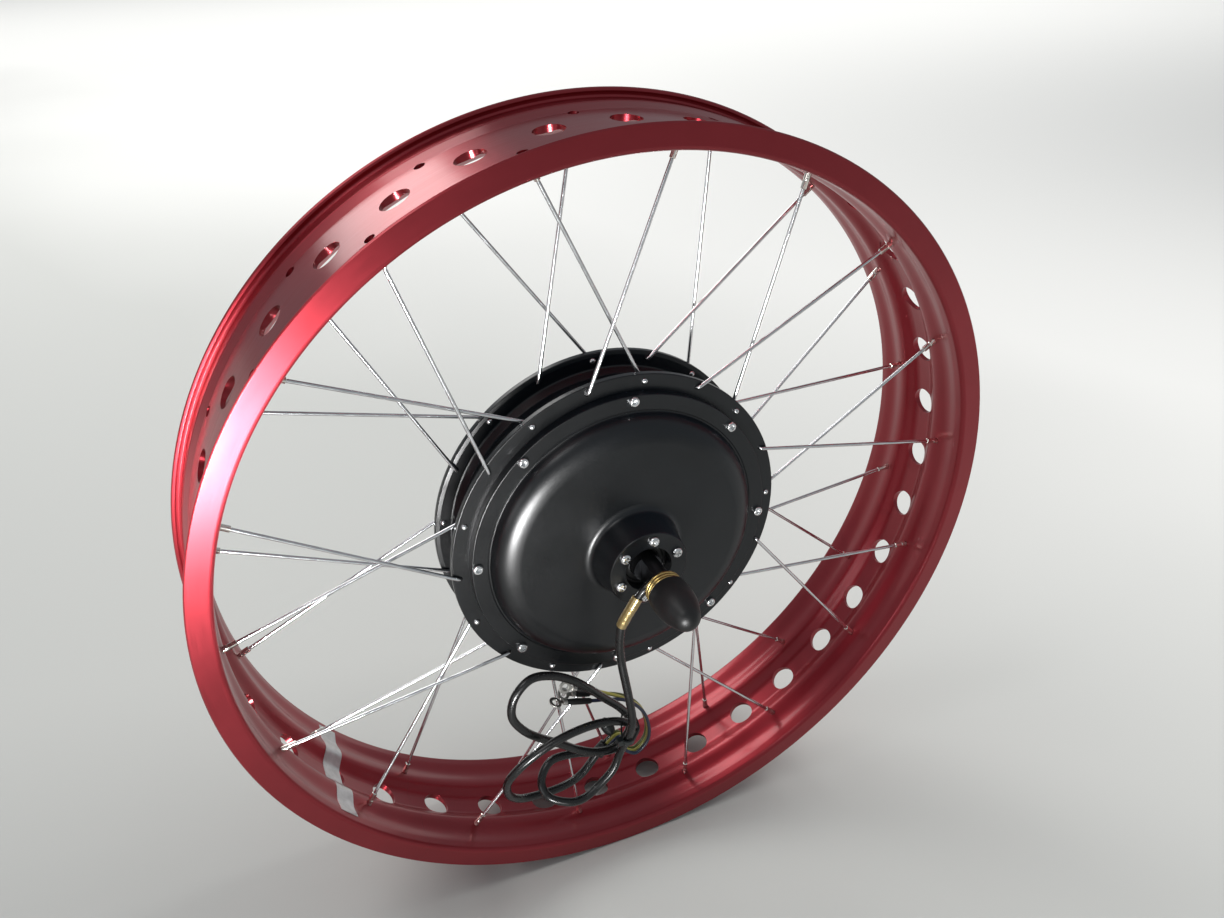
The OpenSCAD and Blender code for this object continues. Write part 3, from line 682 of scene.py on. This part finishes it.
def cable_tie():
    """Nylon strap round three runs of the cable, with its square head."""
    centres = [(-21, -82), (-13, -74), (-11, -60)]
    middle = Vector((-15, -72))

    def reach(r):
        out = []
        for k in range(64):
            t = 2 * math.pi * k / 64
            d = Vector((math.cos(t), math.sin(t)))
            far = max((Vector(c) - middle).dot(d) for c in centres) + r
            out.append((d, far))
        pts = []
        for k in range(64):
            (d1, h1), (d2, h2) = out[k - 1], out[k]
            det = d1.x * d2.y - d1.y * d2.x
            pts.append(middle + Vector(((h1 * d2.y - h2 * d1.y) / det, (d1.x * h2 - d2.x * h1) / det)))
        return pts

    inner, outer = reach(CABLE_R + 0.6), reach(CABLE_R + 1.8)
    levels = [(outer, -136.6), (outer, -133.4), (inner, -133.2), (inner, -136.8)]
    form = Form().rings([[(p.x, p.y, z) for p in line] for line, z in levels], closed=True)
    head = rounded([(-2.2, -2.5, 0.6), (2.2, -2.5, 0.6), (2.2, 2.5, 0.6), (-2.2, 2.5, 0.6)])
    form.prism(head, -2.5, 2.5, Matrix.Translation((-27.3, -82.0, -135)), 0.4)
    return piece("cable_tie_strap", form, "axle_body", NYLON, ["cable_tie"])


def hall_plug():
    """Round sensor plug: a ribbed grip, a collar and a rim."""
    p, q = HALL_PLUG
    outline = [(0, 0), (2.6, 0), (3.0, 0.3), (4.1, 2.0), (4.2, 3.6), (4.0, 3.8), (4.0, 4.2), (4.6, 4.5)]
    for k in range(5):
        outline += [(4.6, 5.1 + k * 1.3), (4.35, 5.4 + k * 1.3), (4.6, 5.8 + k * 1.3)]
    outline += [(4.6, 11.9), (4.4, 12.3), (3.9, 13.7), (3.5, 14.2), (2.9, 14.3), (2.8, 13.2), (0, 13.2)]
    form = Form().lathe(outline, 48, closed=False, place=along(p, q))
    return piece("hall_plug_body", form, "axle_body", NYLON, ["hall_plug"])


motor_cable_and_wires()


# ---------------------------------------------------------------- rim


def wave(start, end, steps):
    """A smooth step in radius between two places (r, a) across the rim."""
    return [(start[0] + (end[0] - start[0]) * (1 - math.cos(math.pi * k / steps)) / 2,
             start[1] + (end[1] - start[1]) * k / steps) for k in range(1, steps + 1)]


def rim_inner_half():
    """From the bed over a ridge to the side wall, on the side that faces the hub."""
    start = (BED_R, 5)
    return [start, *wave(start, RIDGE, 14), *wave(RIDGE, VALLEY, 9), *wave(VALLEY, WALL_FOOT, 7),
            (EDGE_R, RIM_HALF, 3.5)]


def rim_outer_half():
    """From the lip to the middle of the bed, on the tyre side."""
    return [(RIM_R - 1, RIM_HALF, 0.35), (RIM_R, RIM_HALF - 1.1, 0.7),
            (RIM_R - 0.8, RIM_HALF - 2.6, 0.7),
            (RIM_R - 2.2, RIM_HALF - 3.1, 0.5), (RIM_R - 3.4, RIM_HALF - 2.4, 0.8),
            (RIM_R - 4.8, RIM_HALF - 2.1, 0.8), (RIM_R - 6, RIM_HALF - 2.8, 0.7),
            (RIM_R - 6.5, RIM_HALF - 4, 1.2), (RIM_R - 6.5, RIM_HALF - 12, 0.8),
            (RIM_R - 5.9, RIM_HALF - 13.2, 0.6), (RIM_R - 6.4, RIM_HALF - 14.5, 0.8),
            (BED_TOP_R, RIM_HALF - 23, 3)]


def rim_outline():
    half = rim_inner_half() + rim_outer_half()
    return rounded(half + mirrored(half), 15)


def radial_place(angle, a=0.0):
    """Matrix with local z pointing away from the axle."""
    return along(wheel_point(0, angle, a), wheel_point(1, angle, a))


def spoke_line(group, i):
    """Where a spoke bends at the flange, and the point at the rim that it aims for."""
    side = 1 if group.startswith("disc") else -1
    inner = group.endswith("inner")
    hub_angle, rim_angle = (t + i * 360 / SPOKES_IN_GROUP for t in LACING[group])
    bend_a = FLANGE_IN - SPOKE_BEND if inner else FLANGE_OUT + SPOKE_BEND
    return (wheel_point(SPOKE_CIRCLE_R, hub_angle, side * bend_a),
            wheel_point(SPOKE_AIM_R, rim_angle, side * SPOKE_ROW))


def box_outline():
    """The hollow in one side of the rim, where the nipple heads sit."""
    return [(BED_TOP_R - 2.1, RIDGE[1] - 2.5), (RIDGE[0] + 2, RIDGE[1]), (VALLEY[0] + 2, VALLEY[1]),
            (WALL_FOOT[0] + 2.1, WALL_FOOT[1]), (EDGE_R + 2.1, WALL_FOOT[1] + 2.6),
            (EDGE_R + 3.8, RIM_HALF - 1.8), (RIM_R - 8.4, RIM_HALF - 1.8), (RIM_R - 8.2, RIM_HALF - 13),
            (RIM_R - 8.6, RIM_HALF - 14.5), (BED_TOP_R - 2.1, RIM_HALF - 23)]


def drill(form, r, low, up, place):
    """Adds a round cutter along local z of the place matrix."""
    form.lathe([(0, low), (r, low), (r, up), (0, up)], 56 if r > 5 else 28, closed=False, place=place)


def make_rim():
    form = Form().lathe(rim_outline(), 360)
    for sign in (1, -1):
        form.lathe([(r, sign * a) for r, a in box_outline()], 360)
    holes = Form()
    for i in range(CUTOUT_COUNT):
        angle = CUTOUT_PHASE + i * 360 / CUTOUT_COUNT
        drill(holes, CUTOUT_R, BED_R - 8, BED_TOP_R + 4, radial_place(angle))
    drill(holes, VALVE_R, BED_R - 4, BED_TOP_R + 4, radial_place(VALVE_ANGLE))
    for group in LACING:
        for i in range(SPOKES_IN_GROUP):
            corner, bed = spoke_line(group, i)
            place = along(bed, 2 * bed - corner)
            drill(holes, 2.3, -9, -2, place)
            drill(holes, 3.5, -1, 11, place)
    piece("rim_extrusion", form, "wheel", RED, ["rim"], cut_by=holes, sharp=28)


def make_label():
    """Blank sticker across the rim, on the side that faces the hub."""
    half = [p[:2] for p in rim_inner_half() if p[1] < WALL_FOOT[1] + 0.1]
    face = mirrored(half) + half
    rings = []
    for k in range(13):
        angle = LABEL_FROM + LABEL_SPAN * k / 12
        outside = [wheel_point(r - 0.02, angle, a) for r, a in face]
        inside = [wheel_point(r - 0.3, angle, a) for r, a in reversed(face)]
        rings.append(outside + inside)
    piece("rim_sticker", Form().rings(rings), "wheel", foil(), ["rim_label"])


make_rim()
make_label()


# ---------------------------------------------------------------- spokes and nipples


def make_spokes(group):
    side = 1 if group.startswith("disc") else -1
    inner = group.endswith("inner")
    head = [(0, 1.7), (0.8, 1.62), (1.4, 1.36), (1.9, 0.92), (2.16, 0.5), (2.2, 0.12), (2.1, 0), (0, 0)]
    form = Form()
    for i in range(SPOKES_IN_GROUP):
        corner, bed = spoke_line(group, i)
        hub_angle = LACING[group][0] + i * 360 / SPOKES_IN_GROUP
        face = FLANGE_OUT if inner else FLANGE_IN
        out = 1 if inner else -1
        seat = wheel_point(SPOKE_CIRCLE_R, hub_angle, side * face)
        tip = wheel_point(SPOKE_CIRCLE_R, hub_angle, side * (face + out))
        neck = (corner - seat).normalized()
        away = (bed - corner).normalized()
        start, stop = corner - neck * 2.4, corner + away * 3.2
        elbow = [start * (1 - t) ** 2 + corner * 2 * t * (1 - t) + stop * t * t
                 for t in (k / 7 for k in range(8))]
        line = [seat - neck * 0.6, *elbow, corner.lerp(bed, 0.5), bed - away * 1.5]
        form.tube(line, SPOKE_R, 14)
        form.lathe(head, 24, closed=False, place=along(seat, tip))
    node = f"{group}_spokes"
    piece(f"{node}_drawn", form, "wheel", SPOKE, [node])


def nipple_ring(half, square, z, place):
    """One ring of a nipple's section, from round (square 0) to square with rounded corners (1)."""
    ring = []
    for k in range(24):
        t = 2 * math.pi * k / 24
        c, s = math.cos(t), math.sin(t)
        flat = min(half / max(abs(c), abs(s), 1e-6), half * 1.22)
        r = half * (1 - square) + flat * square
        ring.append(place @ Vector((r * c, r * s, z)))
    return ring


def make_nipples(side):
    form = Form()
    sections = [(1.4, 0.6, -16), (1.68, 1, -15.6), (1.68, 1, -10.4), (1.85, 0.7, -9.9), (2.1, 0, -9.3),
                (2.1, 0, -3.9), (3.0, 0, -3.0), (3.1, 0, -2.7), (3.1, 0, -1.8), (2.8, 0, -1.2),
                (2.3, 0, -0.8), (1.2, 0, -0.7)]
    for group in (f"{side}_inner", f"{side}_outer"):
        for i in range(SPOKES_IN_GROUP):
            corner, bed = spoke_line(group, i)
            place = along(bed, 2 * bed - corner) @ Matrix.Rotation(math.radians(17 * i), 4, "Z")
            form.rings([nipple_ring(*section, place) for section in sections])
    piece(f"{side}_nipple_set", form, "wheel", NIPPLE, [f"{side}_nipples"])


for group in LACING:
    make_spokes(group)
for side in SIDES:
    make_nipples(side)


# ---------------------------------------------------------------- hub


def make_hub_shell():
    half = [(SHELL_IN_R, FLANGE_OUT), (FLANGE_R, FLANGE_OUT, 0.7), (FLANGE_R, FLANGE_IN + 0.6, 0.7),
            (FLANGE_R - 2.8, FLANGE_IN, 0.6), (DRUM_R + 3.4, FLANGE_IN, 2.2),
            (DRUM_R, FLANGE_IN - 5.4, 3)]
    holes = Form()
    for group in ("disc_side_inner", "plain_side_outer"):
        side = 1 if group.startswith("disc") else -1
        for i in range(2 * SPOKES_IN_GROUP):
            angle = LACING[group][0] + i * 180 / SPOKES_IN_GROUP
            holes.lathe([(0, -7), (SPOKE_R + 0.2, -7), (SPOKE_R + 0.2, 1), (0, 1)], 20, closed=False,
                        place=on_wheel(SPOKE_CIRCLE_R, angle, FLANGE_OUT, side))
    form = Form().lathe(rounded(half + mirrored(half), 15), 288)
    piece("hub_shell_casting", form, "wheel", BLACK, ["hub_shell"], cut_by=holes)


def cover_outline():
    """From the cover's rim over the dome to the boss, and back along the inside."""
    dome = bend((97.0, COVER_TOP + 0.4), (95, 39.8), (80, 41.6), 14)
    flare = bend((37, 43.6), (32.2, 44), (31.6, 48), 8)
    outside = [(COVER_R, FLANGE_OUT, 0.3), (COVER_R, COVER_TOP, 0.7), (99.2, COVER_TOP, 0.25),
               (98.7, COVER_TOP - 0.5, 0.2), (97.7, COVER_TOP - 0.5, 0.5), *dome, (58, 42.8), *flare,
               (30.2, 56), (28.3, DISC_FACE - 0.9), (28.1, DISC_FACE - 0.35), (BOSS_R, DISC_FACE),
               (BORE_R, DISC_FACE, 0.5), (BORE_R, 53.5)]
    inside = [(18, 53.5), (18, 52), (23.5, 52), (23.5, 36.5), (28, 36.5), (28, 38.5), (40, 38.5),
              *bend((78, 37.2), (90, 36.2), (95.5, 24), 6), (96.8, 19.2), (SHELL_IN_R - 0.1, 19.2),
              (SHELL_IN_R - 0.1, FLANGE_OUT)]
    return rounded(outside + inside, 12)


def make_cover(side):
    sign = SIDES[side]
    outline = [(r, sign * a) for r, a in cover_outline()]
    piece(f"{side}_cover_casting", Form().lathe(outline, 288), "wheel", BLACK,
          [f"{side}_cover"], sharp=40)


def recess_r(kind, angle, size):
    """Distance from the middle to the wall of a hexagonal or cross recess."""
    if kind == "hex":
        return size * math.cos(math.radians(30)) / math.cos(math.radians((angle % 60) - 30))
    phi = abs((angle + 45) % 90 - 45)
    if phi <= math.degrees(math.atan2(CROSS_ARM, size)) + 1e-6:
        return size / math.cos(math.radians(phi))
    return CROSS_ARM / math.sin(math.radians(phi))


def screw(form, place, profile, kind, size, depth, shank_r, shank_l):
    """One screw standing on local z = 0: shank below, head above, and its recess."""
    if kind == "hex":
        angles = [15 * k for k in range(24)]
    else:
        edge = math.degrees(math.atan2(CROSS_ARM, size))
        angles = sorted({(q * 90 + s * t) % 360 for q in range(4) for s in (1, -1)
                         for t in (0, edge, 17, 27, 45)})

    def ring(radius, z):
        return [place @ Vector((radius(t) * math.cos(math.radians(t)),
                                radius(t) * math.sin(math.radians(t)), z)) for t in angles]

    rings = [ring(lambda t: r, z) for r, z in [(shank_r, -shank_l), (shank_r, 0), *profile]]
    top = profile[-1][1]
    for z, share in ((top, 1.0), (top - 0.12, 0.96), (top - depth, 0.92), (top - depth - 0.15, 0.3)):
        rings.append(ring(lambda t: recess_r(kind, t, size) * share, z))
    form.rings(rings)


def make_screws():
    rng = random.Random(7)
    button = [(3.3, 0), (3.62, 0.25), (3.65, 1.1), (3.55, 1.7), (3.3, 2.2), (2.95, 2.55), (2.6, 2.7),
              (2.4, 2.7)]
    pan = [(3.45, 0), (3.72, 0.2), (3.75, 0.8), (3.6, 1.35), (3.2, 1.9), (2.7, 2.3), (2.5, 2.45),
           (2.35, 2.5)]
    for side, sign in SIDES.items():
        form = Form()
        for i in range(COVER_SCREWS["count"]):
            angle = COVER_SCREWS["phase"] + i * 360 / COVER_SCREWS["count"]
            place = on_wheel(COVER_SCREWS["r"], angle, COVER_TOP, sign)
            place = place @ Matrix.Rotation(math.radians(rng.uniform(0, 60)), 4, "Z")
            screw(form, place, button, "hex", size=2.1, depth=2.1, shank_r=2, shank_l=13)
        piece(f"{side}_cover_screw_set", form, "wheel", ZINC, [f"{side}_cover_screws"])
    form = Form()
    for i in range(DISC_SCREWS["count"]):
        angle = DISC_SCREWS["phase"] + i * 360 / DISC_SCREWS["count"]
        place = on_wheel(DISC_SCREWS["r"], angle, DISC_FACE)
        place = place @ Matrix.Rotation(math.radians(rng.uniform(0, 90)), 4, "Z")
        screw(form, place, pan, "cross", size=2.2, depth=1.3, shank_r=2.5, shank_l=9.5)
    piece("disc_screw_set", form, "wheel", ZINC, ["disc_screws"])


def make_seal(side):
    """Rubber lip seal in the mouth of the boss."""
    sign = SIDES[side]
    outline = rounded([(10.35, 54, 0.3), (BORE_R - 0.05, 54, 0.3), (BORE_R - 0.05, 60, 0.5),
                       (14.6, 60, 0.4), (13.6, 58.8, 0.6), (11.6, 58.8, 0.5), (10.35, 59.6, 0.2)])
    piece(f"{side}_lip_seal", Form().lathe([(r, sign * a) for r, a in outline], 96), "wheel", RUBBER,
          [f"{side}_seal"])


make_hub_shell()
for side in SIDES:
    make_cover(side)
    make_seal(side)
make_screws()


# ---------------------------------------------------------------- axle and its ends


def thread_r(angle, a):
    """Radius of the threaded end at an angle and a place along it."""
    flank = abs(((a / THREAD_PITCH - angle / 360) % 1) * 2 - 1)
    return 6.25 + 0.72 * min(1, max(0, flank * 1.25 - 0.12))


def make_axle():
    form = Form()
    half = [(12.5, 24, 0.2), (11.5, 24, 0.1), (11.5, 38, 0.2), (AXLE_R, 38, 0.1),
            (AXLE_R, SHOULDER, 0.5), (0.01, SHOULDER)]
    form.lathe(rounded(mirrored(half) + half), 96)
    cuts = Form().prism([(-3, -15), (3, -15), (3, 15), (-3, 15)], 9.5, 14, Matrix())
    cuts.lathe([(0, 2), (3.3, 2), (3.3, 14), (0, 14)], 32, closed=False,
               place=radial_place(CABLE_ANGLE, CABLE_OUT))
    past = SHOULDER + 5
    for x in (FLAT_X, -FLAT_X - 10):
        for low, up in ((FLATS_FROM, past), (-past, -FLATS_FROM)):
            cuts.prism([(x, low), (x + 10, low), (x + 10, up), (x, up)], -12, 12, Matrix())
    piece("axle_shaft", form, "axle_body", AXLE_STEEL, ["axle"], cut_by=cuts)
    for side, sign in SIDES.items():
        ends = Form()
        sides, first, step = 72, SHOULDER - 0.5, 0.25
        count = int((THREAD_END - first) / step)
        rings = []
        for i in range(count + 1):
            a = first + i * step
            lead = min(1, (THREAD_END - a) / THREAD_PITCH)
            ring = []
            for k in range(sides):
                angle = 360 * k / sides
                r = min(thread_r(angle, a), 5.6 + 1.4 * lead)
                p = wheel_point(r, angle, sign * a)
                p.x = max(-FLAT_X, min(FLAT_X, p.x))
                ring.append(p)
            rings.append(ring)
        ends.rings(rings)
        piece(f"{side}_axle_end", ends, "axle_body", AXLE_STEEL, ["axle"], sharp=50)


def make_washers(side):
    sign = SIDES[side]
    pitch = (WASHER_TO - WASHER_FROM + WASHER_GAP) / WASHER_COUNT
    hole_r, edge = 7.2, 1.12
    form = Form()
    for i in range(WASHER_COUNT):
        low = WASHER_FROM + i * pitch
        up = low + pitch - WASHER_GAP
        outline = rounded([(hole_r, low, 0.25), (WASHER_R, low, edge), (WASHER_R, up, edge),
                           (hole_r, up, 0.25)])
        form.lathe([(r, sign * a) for r, a in outline], 96)
    piece(f"{side}_washer_stack", form, "axle_body", GOLD, [f"{side}_washers"])


def make_nut(side):
    """Hexagon nut with its corners turned off at 30 degrees."""
    sign = SIDES[side]
    first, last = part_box("plain_side_nut")
    low, up = first.y / MM, last.y / MM
    across = (last.z - first.z) / MM
    corner_r = across / 2 / math.cos(math.radians(30))
    form = Form()
    rings = []
    for a, limit in ((low, 0.93), (low + 0.9, 2), (up - 0.9, 2), (up, 0.93)):
        ring = []
        for k in range(72):
            angle = 5 * k
            flat = across / 2 / math.cos(math.radians((angle % 60) - 30))
            ring.append(wheel_point(min(flat, limit * corner_r), angle, sign * a))
        rings.append(ring)
    for a in (up, low):
        rings.append([wheel_point(7.05, 5 * k, sign * a) for k in range(72)])
    form.rings(rings, closed=True)
    piece(f"{side}_hex_nut", form, "axle_body", ZINC, [f"{side}_nut"])


def make_cap(side):
    """Rubber bullet cap with a soft lip at its base."""
    sign = SIDES[side]
    nose_r = 9.8

    def nose(t):
        t = math.radians(t)
        return (nose_r * math.cos(t), CAP_TIP - nose_r + nose_r * math.sin(t))

    flank = smooth_path([(13.65, CAP_BASE + 3, 0), (13.9, CAP_BASE + 8, 0), (13.4, CAP_BASE + 15, 0),
                         (12.3, CAP_BASE + 20, 0), (10.9, CAP_BASE + 24, 0), (*nose(20), 0)], 5)
    outline = [(12.5, CAP_BASE), (13.0, CAP_BASE), (13.45, CAP_BASE + 0.3), (13.6, CAP_BASE + 1.0),
               *[(p.x, p.y) for p in flank], *[nose(t) for t in range(29, 90, 9)]]
    outline += [(0.01, CAP_TIP), (0.01, THREAD_END + 1), (7.4, THREAD_END + 1), (7.4, CAP_BASE + 12),
                (12.5, CAP_BASE + 12)]
    piece(f"{side}_rubber_cap", Form().lathe([(r, sign * a) for r, a in outline], 96), "axle_body",
          RUBBER, [f"{side}_cap"], sharp=40)


make_axle()
for side in SIDES:
    make_washers(side)
    make_nut(side)
    make_cap(side)


# ---------------------------------------------------------------- CAD parts that stay


KEPT = {
    "magnet_ring": IRON, "rotor_magnets": MAGNET, "stator_support": CAST, "axle_key": BEARING,
    "stator_laminations": laminations(), "stator_coils": windings(), "hall_sensor_board": BOARD,
    "motor_leads": JACKET,
    "disc_side_outer_race": BEARING, "plain_side_outer_race": BEARING,
    "disc_side_inner_race": BEARING, "plain_side_inner_race": BEARING,
    "disc_side_bearing_balls": BEARING, "plain_side_bearing_balls": BEARING,
    "disc_side_bearing_shields": BEARING, "plain_side_bearing_shields": BEARING,
}
for name, material in KEPT.items():
    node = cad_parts[name]
    node.data.materials.clear()
    node.data.materials.append(material)


# ---------------------------------------------------------------- floor and light


def make_floor():
    mesh = bpy.data.meshes.new("floor")
    reach = 14
    mesh.from_pydata([(-reach, -reach, FLOOR_Z), (reach, -reach, FLOOR_Z), (reach, reach, FLOOR_Z),
                      (-reach, reach, FLOOR_Z)], [], [(0, 1, 2, 3)])
    mesh.materials.append(pale_floor())
    floor = bpy.data.objects.new("floor", mesh)
    bpy.context.scene.collection.objects.link(floor)


def area_light(name, place, aim, size, power, colour=(1, 1, 1), shiny=True):
    """Rectangular light; one that isn't shiny lights the pieces but shows in no reflection."""
    data = bpy.data.lights.new(name, "AREA")
    data.shape = "RECTANGLE"
    data.size, data.size_y = size
    data.energy = power
    data.color = colour
    light = bpy.data.objects.new(name, data)
    light.location = place
    light.rotation_euler = (Vector(aim) - Vector(place)).to_track_quat("-Z", "Y").to_euler()
    light.visible_camera = False
    light.visible_glossy = shiny
    bpy.context.scene.collection.objects.link(light)
    return light


def make_light():
    world = bpy.data.worlds.new("studio")
    world.use_nodes = True
    background = world.node_tree.nodes["Background"].inputs
    background["Color"].default_value = (0.90, 0.96, 1.0, 1)
    background["Strength"].default_value = 0.38
    bpy.context.scene.world = world
    warm, warmer = (1.0, 0.99, 0.97), (1.0, 0.985, 0.965)
    area_light("far_ceiling", (1.6, 4.2, 1.7), (1.6, 4.2, 0), (9.0, 3.6), 175, warm, shiny=False)
    area_light("right_fill", (1.4, -0.1, 1.5), (0.6, 0.0, 0), (0.9, 0.9), 23, warmer, shiny=False)
    area_light("back_softbox", (-0.5, 2.3, 1.55), (0, 0, -0.1), (1.0, 1.7), 22, warm)
    area_light("top_softbox", (-1.5, 0.2, 2.3), (0, 0, 0), (1.4, 1.4), 12, warm)
    # Lights that show only as glints in the gloss: place, aim, size, power, spread in degrees
    glints = [((-0.41, -0.76, -0.13), (-0.26, -0.05, 0.11), (0.24, 0.26), 3.6, 60),
              ((-1.4, -0.5, 0.3), (0, 0, 0), (0.6, 0.6), 2.4, 180),
              ((-0.9, -0.5, 1.5), (0, 0, 0), (0.5, 0.5), 3, 180)]
    for place, aim, size, power, spread in glints:
        glint = area_light("glint", place, aim, size, power)
        glint.visible_diffuse = False
        glint.data.spread = math.radians(spread)
    bpy.context.scene.view_settings.view_transform = "Standard"


make_floor()
make_light()
